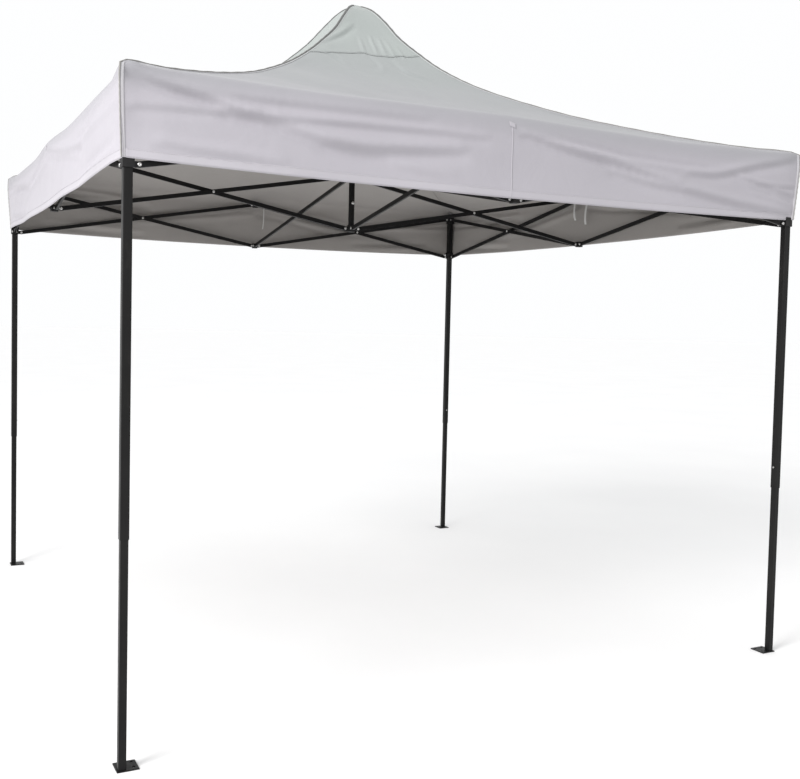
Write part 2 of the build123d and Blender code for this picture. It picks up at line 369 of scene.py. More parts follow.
def turned(p, k):
    """Points of the front side turned to side k."""
    p = np.asarray(p, float)
    c, s = [(1, 0), (0, 1), (-1, 0), (0, -1)][k]
    return np.stack([p[..., 0] * c - p[..., 1] * s, p[..., 0] * s + p[..., 1] * c, p[..., 2]], -1)


def smoothstep(x, a, b):
    t = np.clip((np.asarray(x, float) - a) / (b - a), 0, 1)
    return t * t * (3 - 2 * t)


# ---------------------------------------------------------------- the cloth's shape
ROOF = cad_roof()
print("roof", ROOF.round(4).tolist())
assert len(ROOF) == 14


def monotone(xs, ys, x):
    """Monotone cubic interpolation."""
    h = np.diff(xs)
    s = np.diff(ys) / h
    m = np.zeros(len(xs))
    for i in range(1, len(xs) - 1):
        if s[i - 1] * s[i] > 0:
            w1, w2 = 2 * h[i] + h[i - 1], h[i] + 2 * h[i - 1]
            m[i] = (w1 + w2) / (w1 / s[i - 1] + w2 / s[i])
    m[0], m[-1] = 0.0, s[-1]
    i = np.clip(np.searchsorted(xs, x) - 1, 0, len(h) - 1)
    t = (x - xs[i]) / h[i]
    return ((1 + 2 * t) * (1 - t) ** 2 * ys[i] + t * (1 - t) ** 2 * h[i] * m[i]
            + t * t * (3 - 2 * t) * ys[i + 1] + t * t * (t - 1) * h[i] * m[i + 1])


FILLET = 0.052
OUT_R = EAVE + 0.0025
_r = np.linspace(0, EAVE - FILLET, 700)
_z = monotone(ROOF[:, 0], ROOF[:, 1], _r)
_t = np.linspace(0, 1, 60)[1:]
_p0 = np.array([_r[-1], _z[-1]])
Z_EAVE = ROOF[-1, 1]
_p1 = np.array([OUT_R, Z_EAVE])
_p2 = np.array([OUT_R, Z_EAVE - FILLET * 1.15])
_f = ((1 - _t) ** 2)[:, None] * _p0 + (2 * _t * (1 - _t))[:, None] * _p1 + (_t ** 2)[:, None] * _p2
PROFILE = np.concatenate([np.stack([_r, _z], 1), _f])
ARC = np.concatenate([[0], np.cumsum(np.hypot(*np.diff(PROFILE, axis=0).T))])
Q_ROOF = ARC[len(_r) - 1]
Q_DROP = ARC[-1]
Z_DROP = _p2[1]
# the same line with a tight eave, for the corners where the leg tops hold the cloth out
_zc = _z[-1] - 0.2386 * (OUT_R - _r[-1])
_b0, _b1, _b2 = np.array([OUT_R - 0.016, _zc + 0.2386 * 0.016]), np.array([OUT_R, _zc]), np.array([OUT_R, _zc - 0.018])
_bt = np.linspace(0, 1, 12)
_bend = ((1 - _bt) ** 2)[:, None] * _b0 + (2 * _bt * (1 - _bt))[:, None] * _b1 + (_bt ** 2)[:, None] * _b2
_path = np.concatenate([[_p0], _bend, [_p2]])
_len = np.concatenate([[0], np.cumsum(np.hypot(*np.diff(_path, axis=0).T))])
_even = np.linspace(0, _len[-1], 60)[1:]
_fs = np.stack([np.interp(_even, _len, _path[:, i]) for i in (0, 1)], 1)
PROFILE_C = np.concatenate([np.stack([_r, _z], 1), _fs])


def hem_z(s):
    return PANEL_LO.z - 0.004 - 0.018 * (1 - np.clip(np.abs(s) / EAVE, 0, 1) ** 2.2)


def fold_field(s, q, folds):
    """Sum of the folds' heights at points (s across, q down the cloth)."""
    out = np.zeros_like(s)
    for pts, amp, width, kind in folds:
        pts = np.array(pts, float)
        low = pts[:, 1].mean() > 1.7  # the valance's folds are the deep ones
        amp, width = (amp * 1.60, width * 0.76) if low else (amp, width)
        dense = []
        for a, b in zip(pts[:-1], pts[1:]):
            n = max(2, int(np.hypot(*(b - a)) / 0.02))
            dense.append(a + (b - a) * np.linspace(0, 1, n, endpoint=False)[:, None])
        dense = np.concatenate(dense + [pts[-1:]])
        if len(dense) > 6:  # round the corners of the line
            k = np.array([1, 2, 3, 2, 1]) / 9.0
            pad = np.concatenate([dense[:1]] * 2 + [dense] + [dense[-1:]] * 2)
            dense = np.stack([np.convolve(pad[:, i], k, "valid") for i in (0, 1)], 1)
        tan = np.gradient(dense, axis=0)
        tan /= np.maximum(np.linalg.norm(tan, axis=1, keepdims=True), 1e-9)
        lo, hi = dense.min(0) - 4 * width, dense.max(0) + 4 * width
        near = (s > lo[0]) & (s < hi[0]) & (q > lo[1]) & (q < hi[1])
        if not near.any():
            continue
        S, Q = s[near], q[near]
        d2 = (S[:, None] - dense[None, :, 0]) ** 2 + (Q[:, None] - dense[None, :, 1]) ** 2
        j = d2.argmin(1)
        dx, dy = S - dense[j, 0], Q - dense[j, 1]
        side = tan[j, 0] * dy - tan[j, 1] * dx
        x = side / width
        along = j / (len(dense) - 1.0)
        end = np.hypot(dx, dy) ** 2 - side ** 2
        fade = np.exp(-np.maximum(end, 0) / (1.5 * width) ** 2)
        taper = (0.35 + 0.65 * np.sin(np.pi * np.clip(along * 0.9 + 0.05, 0, 1)) ** 0.8)
        if kind == "step":
            h = -x * np.exp(-x * x / 2) * 1.65
        elif kind == "ridge":
            h = np.exp(-x * x) - 0.35 * np.exp(-((x - 1.7) / 1.2) ** 2) - 0.35 * np.exp(-((x + 1.7) / 1.2) ** 2)
        else:
            h = -np.exp(-x * x)
        out[near] += amp * h * fade * taper
    return out


def seeded(seed):
    return np.random.default_rng(seed)


FRONT_FOLDS = [
    ([(-1.47, 1.748), (-1.40, 1.770), (-1.291, 1.793), (-1.161, 1.818), (-1.05, 1.842)], 0.0085, 0.019, "step"),
    ([(-1.453, 1.860), (-1.314, 1.853), (-1.153, 1.845), (-1.027, 1.848), (-0.851, 1.841), (-0.633, 1.833), (-0.414, 1.828), (-0.15, 1.826)], 0.0042, 0.018, "step"),
    ([(-1.153, 1.842), (-1.0, 1.856), (-0.893, 1.879), (-0.801, 1.905), (-0.631, 1.914), (-0.257, 1.885)], 0.0072, 0.026, "step"),
    ([(-1.30, 1.780), (-1.163, 1.792), (-0.948, 1.791), (-0.654, 1.788), (-0.40, 1.785)], 0.0028, 0.018, "step"),
    ([(-1.368, 1.966), (-1.233, 1.980), (-1.10, 1.985), (-0.944, 1.996)], 0.0040, 0.021, "step"),
    ([(-0.801, 1.909), (-0.583, 1.937), (-0.462, 1.970), (-0.30, 1.990)], 0.0036, 0.028, "step"),
    ([(0.009, 1.795), (0.237, 1.831), (0.439, 1.856), (0.663, 1.895), (0.80, 1.915)], 0.0072, 0.017, "step"),
    ([(0.441, 1.893), (0.627, 1.924), (0.850, 1.940), (1.098, 1.968), (1.30, 1.985), (1.477, 1.997)], 0.0068, 0.021, "step"),
    ([(0.115, 1.803), (0.515, 1.834), (0.970, 1.844)], -0.0034, 0.014, "step"),
    ([(0.845, 1.868), (1.018, 1.860), (1.195, 1.812), (1.40, 1.770), (1.476, 1.752)], 0.0052, 0.019, "step"),
    ([(1.119, 1.847), (1.30, 1.885), (1.49, 1.920)], 0.0042, 0.013, "step"),
    ([(1.243, 1.875), (1.35, 1.878), (1.486, 1.876)], 0.0036, 0.010, "step"),
    ([(1.20, 1.905), (1.35, 1.930), (1.49, 1.955)], -0.0032, 0.012, "step"),
    ([(-0.262, 0.395), (-0.238, 0.377), (-0.15, 0.30), (-0.068, 0.211)], 0.0050, 0.0125, "step"),
    ([(-0.05, 0.30), (-0.047, 0.437)], 0.0040, 0.010, "ridge"),
    ([(0.012, 0.27), (0.022, 0.425)], 0.0048, 0.009, "ridge"),
    ([(0.058, 0.285), (0.070, 0.425)], 0.0046, 0.009, "ridge"),
    ([(0.100, 0.31), (0.118, 0.425)], 0.0040, 0.008, "ridge"),
    ([(0.150, 0.34), (0.168, 0.425)], 0.0036, 0.008, "ridge"),
    ([(-0.30, 0.47), (-0.22, 0.52), (-0.19, 0.60)], 0.0038, 0.016, "step"),
    ([(0.10, 0.47), (0.13, 0.56), (0.21, 0.62)], 0.0042, 0.017, "step"),
    ([(-0.02, 0.46), (0.02, 0.53), (-0.03, 0.60)], 0.0030, 0.014, "step"),
]


def other_folds(k):
    """Tension folds of the sides that were not seen square on: they start at the corners and at the middle joint."""
    g = seeded(40 + k)
    out = []
    for sign in (-1, 1):
        for i in range(3):
            q0 = 1.752 + 0.035 * i + g.uniform(-0.008, 0.008)
            reach = g.uniform(0.45, 0.95)
            drop = g.uniform(0.03, 0.11) if i < 2 else g.uniform(-0.01, 0.05)
            pts = [(sign * (1.47 - reach * t), q0 + drop * t ** 1.3 + g.uniform(-0.006, 0.006)) for t in (0, 0.33, 0.66, 1.0)]
            out.append((pts, g.uniform(0.003, 0.0075), g.uniform(0.014, 0.024), "step"))
        for i in range(2):
            q0 = 1.785 + 0.03 * i
            pts = [(sign * 0.02, q0), (sign * 0.24, q0 + 0.035), (sign * 0.5, q0 + 0.07 + g.uniform(-0.02, 0.02)), (sign * g.uniform(0.7, 0.9), q0 + 0.10)]
            out.append((pts, g.uniform(0.003, 0.0065), g.uniform(0.015, 0.022), "step"))
        pts = [(sign * g.uniform(1.25, 1.4), 1.965), (sign * 1.05, 1.982), (sign * g.uniform(0.7, 0.9), 1.995)]
        out.append((pts, g.uniform(0.003, 0.005), 0.021, "step"))
    for i in range(5):
        x = g.uniform(-0.22, 0.22)
        out.append(([(x * 0.7, g.uniform(0.27, 0.32)), (x, 0.43)], g.uniform(0.003, 0.0048), 0.009, "ridge"))
    side = 1 if k % 2 else -1
    out.append(([(side * 0.25, 0.39), (side * 0.15, 0.30), (side * 0.07, 0.21)], 0.0048, 0.0125, "step"))
    out.append(([(side * 0.2, 0.47), (side * 0.16, 0.55), (side * 0.20, 0.62)], 0.004, 0.016, "step"))
    return out


FOLDS = [FRONT_FOLDS, other_folds(1), other_folds(2), other_folds(3)]
WAVES = []
for _k in range(4):
    _g = seeded(7 + _k)
    WAVES.append([(_g.uniform(1.2, 5.5), _g.uniform(1.5, 6.5), _g.uniform(0, 6.28), _g.uniform(0, 6.28)) for _ in range(7)])


SLIP = np.array([-0.040, 0.014, 0.0])  # the cloth has slipped a little to the left between the peak and the eave


def surface(k, a, v, off=0.0, plain=False):
    """Points of side k's cloth. a runs from -1 to 1 across, v from 0 at the peak to 1 at the foot of the eave's curve and 2 at the hem."""
    a, v = np.broadcast_arrays(np.asarray(a, float), np.asarray(v, float))
    q = np.clip(v, 0, 1) * Q_DROP
    tight = smoothstep(np.abs(a), 0.84, 0.985)
    r = np.interp(q, ARC, PROFILE[:, 0]) * (1 - tight) + np.interp(q, ARC, PROFILE_C[:, 0]) * tight
    z = np.interp(q, ARC, PROFILE[:, 1]) * (1 - tight) + np.interp(q, ARC, PROFILE_C[:, 1]) * tight
    down = np.clip(v - 1, 0, 1.2)
    # the lower corners are drawn in towards the legs, the upper ones pushed up a little by them
    r = r - 0.011 * smoothstep(np.abs(a), 0.90, 1.0) * down ** 1.2
    z = z + 0.006 * np.exp(-(((1 - np.abs(a)) * r) / 0.07) ** 2) * np.exp(-((q - 1.70) / 0.08) ** 2)
    s = a * r
    drop = (Z_DROP - hem_z(a * EAVE)) * down
    z = z - drop
    q = q + drop
    # the valance leans a little and bellies between its fixings
    belly = np.sin(np.pi * np.clip(down, 0, 1) * 0.5) ** 1.5
    lean = 0.006 * belly * (1 - a ** 4) - 0.004 * belly
    # outward direction of the bare profile
    e = 1e-3
    qa = np.clip(np.clip(v, 0, 1) * Q_DROP, e, Q_DROP - e)
    tr = np.interp(qa + e, ARC, PROFILE[:, 0]) - np.interp(qa - e, ARC, PROFILE[:, 0])
    tz = np.interp(qa + e, ARC, PROFILE[:, 1]) - np.interp(qa - e, ARC, PROFILE[:, 1])
    ln = np.hypot(tr, tz)
    nr, nz = -tz / ln, tr / ln
    d = np.zeros_like(s) + lean
    if not plain:
        free = smoothstep((r - np.abs(s)) / math.sqrt(2), 0.0, 0.055)
        d = d + fold_field(s, q, FOLDS[k]) * smoothstep((r - np.abs(s)), 0.0, 0.030)
        calm = smoothstep(q, 0.10, 0.5)
        for fx, fq, p1, p2 in WAVES[k]:
            d = d + 0.0011 * calm * free * np.sin(fx * s * 2.2 + p1) * np.sin(fq * q * 2.0 + p2)
        # the gore hangs a little between its seams, and the eave between the fixings
        d = d - 0.012 * free * np.sin(np.pi * np.clip(q / Q_ROOF, 0, 1)) * (1 - a * a)
        ease = np.exp(-((q - Q_ROOF - 0.02) / 0.16) ** 2)
        d = d - 0.010 * ease * free * np.sin(np.pi * np.clip(np.abs(s) / HALF, 0, 1)) ** 2
    r2, z2 = r + nr * d, z + nz * d
    z2 = np.where(q < 0.02, np.minimum(z2, z), z2)
    p = np.stack([s, -r2, z2], -1)
    shift = SLIP * (smoothstep(q, 0.05, 0.62) * (1 - smoothstep(q, 0.62, 1.30)))[..., None]
    if off:
        ea, ev = 2e-3, 2e-3
        up = surface(k, a, v - ev, plain=plain)
        dn = surface(k, a, v + ev, plain=plain)
        lf = surface(k, np.clip(a - ea, -1, 1), v, plain=plain)
        rt = surface(k, np.clip(a + ea, -1, 1), v, plain=plain)
        nrm = np.cross(dn - up, rt - lf)
        nrm /= np.maximum(np.linalg.norm(nrm, axis=-1, keepdims=True), 1e-12)
        nrm_front = turned(nrm, (4 - k) % 4)
        flip = np.where((nrm_front[..., 2] * 0.7 - nrm_front[..., 1]) < 0, -1.0, 1.0)
        return turned(p, k) + shift + nrm * flip[..., None] * off
    return turned(p, k) + shift


def cloth_uv(k, a, v):
    a, v = np.broadcast_arrays(np.asarray(a, float), np.asarray(v, float))
    q = np.clip(v, 0, 1) * Q_DROP
    r = np.interp(q, ARC, PROFILE[:, 0])
    q = q + (Z_DROP - hem_z(a * EAVE)) * np.clip(v - 1, 0, 1.2)
    return np.stack([a * r + 3 * k, q], -1)


def v_of_r(r):
    return np.interp(r, _r, ARC[:len(_r)]) / Q_DROP


CAP_AT = [0.372, 0.268, 0.300, 0.336]  # how far out the second layer ends at each corner seam, fl first


def cap_line(k, a):
    """Where the lower edge of side k's second layer round the peak runs, with a few puckers."""
    end = np.where(a < 0, CAP_AT[k], CAP_AT[(k + 1) % 4])
    wave = 0.0046 * np.sin(7.0 * a + 0.6) + 0.0026 * np.sin(17.0 * a + 2.0)
    return v_of_r(0.298 + (end - 0.298) * np.abs(a) ** 1.7 + wave * (1 - a * a))


def on_canopy(ob, k, squash=True):
    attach(ob, f"canopy_{SIDES[k]}")
    if squash:
        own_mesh(ob)
    return ob


COLS = 221
A_LINE = np.linspace(-1, 1, COLS)
A_LINE = A_LINE * 0.86 + 0.14 * np.sin(A_LINE * math.pi / 2)
V_LINE = np.concatenate([
    np.linspace(0.006, 0.28, 46), np.linspace(0.28, Q_ROOF / Q_DROP, 74)[1:],
    np.linspace(Q_ROOF / Q_DROP, 1.0, 12)[1:], np.linspace(1.0, 2.0, 30)[1:]])


def panel(k):
    """One side of the top, roof gore and valance in one sheet."""
    A, V = np.meshgrid(A_LINE, V_LINE)
    P = surface(k, A, V).reshape(-1, 3)
    UV = cloth_uv(k, A, V).reshape(-1, 2)
    apex = turned(np.array([[0, 0, PANEL_HI.z]]), k)
    verts = np.concatenate([P, apex])
    uv = np.concatenate([UV, [[3 * k, 0.0]]])
    faces = grid_faces(len(V_LINE), COLS, flip=True)
    last = len(verts) - 1
    faces += [(j, j + 1, last) for j in range(COLS - 1)]
    ob = make_object(f"canopy_{SIDES[k]}_cloth", verts, faces, CLOTH_PAINTED_LIGHT, uv)
    # the inner faces get the underside cloth with painted shade
    solidify(ob, 0.0009, inside=CLOTH_UNDER_PAINTED_SHADE)
    on_canopy(ob, k)
    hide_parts(f"canopy_panel_{SIDES[k]}")
    return ob


def strip(name, k, a_of, v_of, rows, cols, off, mat, thick=0.0008):
    """A band sewn on the cloth: a_of and v_of give its (a, v) for row 0..1 and column 0..1."""
    R, C = np.meshgrid(np.linspace(0, 1, rows), np.linspace(0, 1, cols), indexing="ij")
    A, V = a_of(R, C), v_of(R, C)
    A, V = np.broadcast_arrays(A, V)
    P = surface(k, A, V, off=off).reshape(-1, 3)
    ob = make_object(name, P, grid_faces(rows, cols, flip=True), mat, cloth_uv(k, A, V).reshape(-1, 2))
    solidify(ob, thick)
    return on_canopy(ob, k)


def frames_along(P):
    """Unit tangents of a line of points."""
    t = np.gradient(P, axis=0)
    return t / np.maximum(np.linalg.norm(t, axis=1, keepdims=True), 1e-12)


def tube(P, up, radius, sides, squeeze=1.0):
    """Vertices and faces of a closed-ended tube along P; up is a direction across it at each point."""
    t = frames_along(P)
    b = np.cross(t, up)
    b /= np.maximum(np.linalg.norm(b, axis=1, keepdims=True), 1e-12)
    n = np.cross(b, t)
    ang = np.linspace(0, 2 * math.pi, sides, endpoint=False)
    rad = np.zeros(len(P)) + radius
    rad[0] *= 0.55
    rad[-1] *= 0.55
    V = (P[:, None] + rad[:, None, None] * (np.cos(ang)[None, :, None] * b[:, None] + squeeze * np.sin(ang)[None, :, None] * n[:, None]))
    verts = V.reshape(-1, 3)
    faces = grid_faces(len(P), sides, wrap=True)
    faces.append(tuple(range(sides)))
    m = (len(P) - 1) * sides
    faces.append(tuple(reversed(range(m, m + sides))))
    return verts, faces


def merge(parts):
    verts, faces, n = [], [], 0
    for v, f in parts:
        verts.append(np.asarray(v))
        faces += [tuple(i + n for i in face) for face in f]
        n += len(v)
    return np.concatenate(verts), faces


def hip_line(k, n=150):
    """Points of the seam at the left end of side k, from near the peak to the hem."""
    V = np.concatenate([np.linspace(0.008, 0.35, n // 3), np.linspace(0.35, 1.0, n // 3)[1:], np.linspace(1.0, 2.0, n // 4)[1:]])
    return surface(k, np.full(len(V), -1.0), V, plain=False), V


def hip_pieces(k):
    """The bound seam at the left end of side k: a flat welt, 17 mm wide, with a cord of dark tape on it, painted darker
    towards the peak as painted shade.
    """
    P, V = hip_line(k)
    t = frames_along(P)
    diag = turned(np.array([[-1, -1, 0]]) / math.sqrt(2), k)[0]
    side = turned(np.array([[1, -1, 0]]) / math.sqrt(2), k)
    side = np.tile(side, (len(P), 1))
    out = np.cross(side, t)
    out /= np.linalg.norm(out, axis=1, keepdims=True)
    out *= np.sign((out @ diag) * 1.0 + out[:, 2])[:, None]
    wob = 0.0006 * np.sin(np.arange(len(P)) * 1.7 + k)
    cord = P + out * (0.0030 + wob[:, None])
    v1, f1 = tube(cord, out, 0.0052 - 0.0018 * smoothstep(V, 0.12, 0.40) - 0.0010 * smoothstep(V, 0.90, 1.05), 10, 0.9)
    ob = make_object(f"hip_binding_{CORNERS[k]}", v1, f1, CLOTH_TAPE_PAINTED_SHADE)
    on_canopy(ob, k)
    # the welt lies over both gores and follows them
    cols = []
    for w in (-0.0085, -0.0070, -0.0035, 0.0, 0.0035, 0.0070, 0.0085):
        kk = k if w >= 0 else (k + 3) % 4
        r = np.interp(np.clip(V, 0, 1) * Q_DROP, ARC, PROFILE[:, 0])
        a = -1.0 + np.abs(w) * math.sqrt(2) / np.maximum(r, 0.03)
        a = np.minimum(a, -0.2)
        lift = 0.0012 if abs(w) < 0.008 else 0.0002
        pts = surface(kk, a if w >= 0 else -a, V, off=lift)
        if w == 0:
            pts = P + out * 0.0016
        cols.append(pts)
    G = np.stack(cols, 1)
    ob2 = make_object(f"hip_welt_{CORNERS[k]}", G.reshape(-1, 3), grid_faces(len(P), len(cols), flip=False), CLOTH_WELT,
                      np.stack([np.tile(np.arange(len(cols)) * 0.004, len(P)), np.repeat(np.arange(len(P)) * 0.013, len(cols))], 1))
    solidify(ob2, 0.0009)
    on_canopy(ob2, k)
    return ob, ob2


def stitch_row(k, A, V, pitch=0.0085, length=0.0052, radius=0.00055, off=0.0013):
    """Short thread stitches along a line on the cloth."""
    fine = surface(k, A, V, off=off)
    arc = np.concatenate([[0], np.cumsum(np.linalg.norm(np.diff(fine, axis=0), axis=1))])
    n = int(arc[-1] / pitch)
    parts = []
    ang = np.linspace(0, 2 * math.pi, 5, endpoint=False)
    starts = (np.arange(n) + 0.5) * pitch
    p0 = np.stack([np.interp(starts - length / 2, arc, fine[:, i]) for i in range(3)], 1)
    p1 = np.stack([np.interp(starts + length / 2, arc, fine[:, i]) for i in range(3)], 1)
    t = p1 - p0
    t /= np.maximum(np.linalg.norm(t, axis=1, keepdims=True), 1e-12)
    ref = np.where(np.abs(t[:, 2:3]) > 0.8, np.array([[1.0, 0, 0]]), np.array([[0, 0, 1.0]]))
    b = np.cross(t, ref)
    b /= np.linalg.norm(b, axis=1, keepdims=True)
    nn = np.cross(b, t)
    ring = np.cos(ang)[None, :, None] * b[:, None] + np.sin(ang)[None, :, None] * nn[:, None]
    mid = (p0 + p1) / 2
    levels = [(p0, 0.35), (p0 * 0.7 + mid * 0.3, 0.95), (p1 * 0.7 + mid * 0.3, 0.95), (p1, 0.35)]
    V4 = np.stack([c[:, None] + ring * (radius * s) for c, s in levels], 1)
    for i in range(n):
        f = grid_faces(4, 5, wrap=True) + [tuple(range(5)), tuple(reversed(range(15, 20)))]
        parts.append((V4[i].reshape(-1, 3), f))
    return parts


def seam_pieces(k):
    """Hem, cap patch, middle seam, reinforcement and all stitching of side k."""
    name = SIDES[k]
    made = []
    # folded hem, 28 mm high
    made.append(strip(f"hem_{name}", k, lambda R, C: -0.9985 + 1.997 * C, lambda R, C: 1.872 + 0.130 * R, 5, 181, 0.0009, CLOTH_HEM))
    # second layer round the peak, its lower edge pulled in at the middle
    def cap_v(R, C):
        a = -1 + 2 * C
        edge = cap_line(k, a)
        return 0.007 + (edge - 0.007) * R
    made.append(strip(f"cap_patch_{name}", k, lambda R, C: (-1 + 2 * C) * 0.992, cap_v, 34, 91, 0.0014, CLOTH_PATCH_PAINTED_LIGHT))
    def cap_edge(R, C):
        a = -1 + 2 * C
        edge = cap_line(k, a)
        return edge - 0.0040 + 0.0046 * R
    made.append(strip(f"cap_edge_{name}", k, lambda R, C: (-1 + 2 * C) * 0.99, cap_edge, 3, 121, 0.0019, CLOTH_SEAM, 0.0004))
    # seam where the valance's two lengths are joined, and the patch over the middle fixing
    if k != 3:
        made.append(strip(f"mid_seam_{name}", k, lambda R, C: -0.0285 + 0.0040 * C + 0.0006 * np.sin(9 * R), lambda R, C: 0.985 + 1.0 * R, 60, 4, 0.0011, CLOTH_HEM))
    made.append(strip(f"mid_patch_{name}", k, lambda R, C: -0.035 + 0.017 * C, lambda R, C: 0.979 + 0.010 * R + 0.004 * C, 9, 12, 0.0018, CLOTH_HEM, 0.0012))
    # stitching
    n = 400
    A = np.linspace(-0.995, 0.995, n)
    parts = stitch_row(k, A, np.full(n, 1.886), off=0.0012)
    parts += stitch_row(k, A, np.full(n, 1.984), off=0.0012)
    a = np.linspace(-0.97, 0.97, n)
    edge = cap_line(k, a)
    parts += stitch_row(k, a, edge - 0.0036, off=0.0024)
    for sign in (-1, 1):
        V = np.linspace(0.07, 1.98, n)
        r = np.interp(np.clip(V, 0, 1) * Q_DROP, ARC, PROFILE[:, 0])
        parts += stitch_row(k, sign * (1 - 0.0078 * math.sqrt(2) / r), V, off=0.0016)
    v, f = merge(parts)
    ob = make_object(f"stitching_{name}", v, f, THREAD)
    on_canopy(ob, k)
    made.append(ob)
    return made


def ribbon(points, width, across, thick=0.0014, n=26):
    """A flat strap along a smooth line."""
    P = np.array(points, float)
    t0 = np.linspace(0, 1, len(P))
    t = np.linspace(0, 1, n)
    deg = min(3, len(P) - 1)
    Q = np.stack([np.polyval(np.polyfit(t0, P[:, i], deg), t) for i in range(3)], 1)
    w = np.array(across, float)
    w /= np.linalg.norm(w)
    tan = frames_along(Q)
    nn = np.cross(tan, w)
    nn /= np.linalg.norm(nn, axis=1, keepdims=True)
    h, e = width / 2, thick / 2
    ring = [(-h, -e * 0.3), (-h * 0.94, -e), (h * 0.94, -e), (h, -e * 0.3), (h, e * 0.3), (h * 0.94, e), (-h * 0.94, e), (-h, e * 0.3)]
    V = np.stack([Q + x * w + y * nn for x, y in ring], 1)
    faces = grid_faces(n, 8, wrap=True) + [tuple(range(8)), tuple(reversed(range((n - 1) * 8, n * 8)))]
    return V.reshape(-1, 3), faces


def ties(k):
    """Hook-and-loop ties that hang inside the top, at the middle joint: two on each side, one narrow one on the back.
    """
    parts = []
    y = -EAVE + 0.020
    zt = Z_TOP + 0.001
    for x, ln, sway in ((-0.062, 0.150, 0.010), (0.055, 0.120, -0.014))[:1 if k == 2 else 2]:
        p = [(x, y + 0.002, zt), (x + sway * 0.4, y + 0.012, zt - ln * 0.35), (x + sway * 0.7, y + 0.016, zt - ln * 0.7), (x + sway, y + 0.008, zt - ln)]
        parts.append(ribbon(p, 0.006 if k == 2 else 0.014, (1, 0.15, 0)))
    v, f = merge(parts)
    ob = make_object(f"ties_{SIDES[k]}", turned(v, k), f, STRAP)
    on_canopy(ob, k)
    return ob


for k in range(4):
    bind, welt = hip_pieces(k)
    trims = seam_pieces(k) + [ties(k), bind, welt]
    top = panel(k)


def peak_button():
    """The round patch sewn over the seams' ends at the peak. It stays on the mast's cap when the top folds."""
    rho = np.array([0.0, 0.006, 0.012, 0.018, 0.024, 0.029, 0.033, 0.0355, 0.0365])
    drop = np.array([0.0, 0.0, 0.0, 0.0003, 0.0008, 0.0018, 0.0038, 0.0062, 0.0088])
    ang = np.linspace(0, 2 * math.pi, 72, endpoint=False)
    verts = [(0.0, 0.0, PANEL_HI.z + 0.0080)]
    for r, d in zip(rho[1:], drop[1:]):
        x, y = r * np.cos(ang), r * np.sin(ang)
        side = (np.abs(x) ** 5 + np.abs(y) ** 5) ** 0.2
        z = np.interp(side, PROFILE[:, 0], PROFILE[:, 1]) + 0.0080 - d + 0.0005 * np.sin(9 * ang + 1.0) * (r / 0.0365)
        verts += list(zip(x, y, z))
    faces = [(0, 1 + j, 1 + (j + 1) % 72) for j in range(72)] + grid_faces(len(rho) - 1, 72, start=1, flip=True, wrap=True)
    v = np.array(verts)
    ob = make_object("peak_button", v, faces, CLOTH_PATCH_PAINTED_LIGHT, v[:, :2])
    solidify(ob, 0.0012)
    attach(ob, "centre_mast")
    return ob


peak_button()


# ---------------------------------------------------------------- rivet heads
def lathe(profile, sides=20):
    """A turned solid about +Z from (radius, height) points; the first and last are on the axis."""
    ang = np.linspace(0, 2 * math.pi, sides, endpoint=False)
    rings = [(r, z) for r, z in profile[1:-1]]
    verts = [(0, 0, profile[0][1])]
    for r, z in rings:
        verts += [(r * math.cos(t), r * math.sin(t), z) for t in ang]
    verts.append((0, 0, profile[-1][1]))
    faces = [(0, 1 + (j + 1) % sides, 1 + j) for j in range(sides)]
    for i in range(len(rings) - 1):
        a = 1 + i * sides
        faces += [(a + j, a + (j + 1) % sides, a + sides + (j + 1) % sides, a + sides + j) for j in range(sides)]
    last = 1 + (len(rings) - 1) * sides
    faces += [(last + j, last + (j + 1) % sides, len(verts) - 1) for j in range(sides)]
    return np.array(verts), faces


HEAD = lathe([(0, -0.0004), (0.0056, -0.0004), (0.0064, 0.0002), (0.0066, 0.0009), (0.0060, 0.0018), (0.0046, 0.0026), (0.0030, 0.0029),
              (0.0022, 0.0027), (0.0019, 0.0019), (0, 0.0017)])
NUT = lathe([(0, -0.0004), (0.0075, -0.0004), (0.0082, 0.0003), (0.0082, 0.0012), (0.0062, 0.0016), (0.0058, 0.0040), (0.0042, 0.0046), (0, 0.0047)], 24)


def aimed(part, at, axis):
    z = Vector(axis).normalized()
    m = z.to_track_quat("Z", "Y").to_matrix()
    v = np.array(part[0]) @ np.array(m).T + np.array(at)
    return v, part[1]


def axis_of(k, turn):
    """Direction of a truss frame's +Y axis, for side k and a truss turned about Z."""
    t = math.radians(90 * k + turn)
    return np.array([-math.sin(t), math.cos(t), 0.0])


def truss_point(k, turn, x, y, z, base):
    """A point of a truss frame in the row frame."""
    t = math.radians(turn)
    p = np.array([x * math.cos(t) - y * math.sin(t) + base[0], x * math.sin(t) + y * math.cos(t) + base[1], z])
    return turned(p, k)


def rivets(name, body, heads):
    """heads: (point, axis) for each."""
    v, f = merge([aimed(kind, p, ax) for p, ax, kind in heads])
    ob = make_object(name, v, f, ZINC)
    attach(ob, body)
    return ob


CHEEK_IN, CHEEK_OUT = BAR_SIDE - BAR_T / 2 - 0.0035, BAR_SIDE + BAR_T / 2 + 0.0035
HEAD_LIFT = 0.0016


def fork_heads(k, turn, x, side, z, base):
    lo, hi = sorted((side * CHEEK_IN, side * CHEEK_OUT))
    ax = axis_of(k, turn)
    return [(truss_point(k, turn, x, lo - HEAD_LIFT, z, base), -ax, HEAD), (truss_point(k, turn, x, hi + HEAD_LIFT, z, base), ax, HEAD)]


def bar_heads(k, turn, x, z, base):
    ax = axis_of(k, turn)
    h = BAR_SIDE + BAR_T / 2 + HEAD_LIFT
    return [(truss_point(k, turn, x, -h, z, base), -ax, HEAD), (truss_point(k, turn, x, h, z, base), ax, HEAD)]


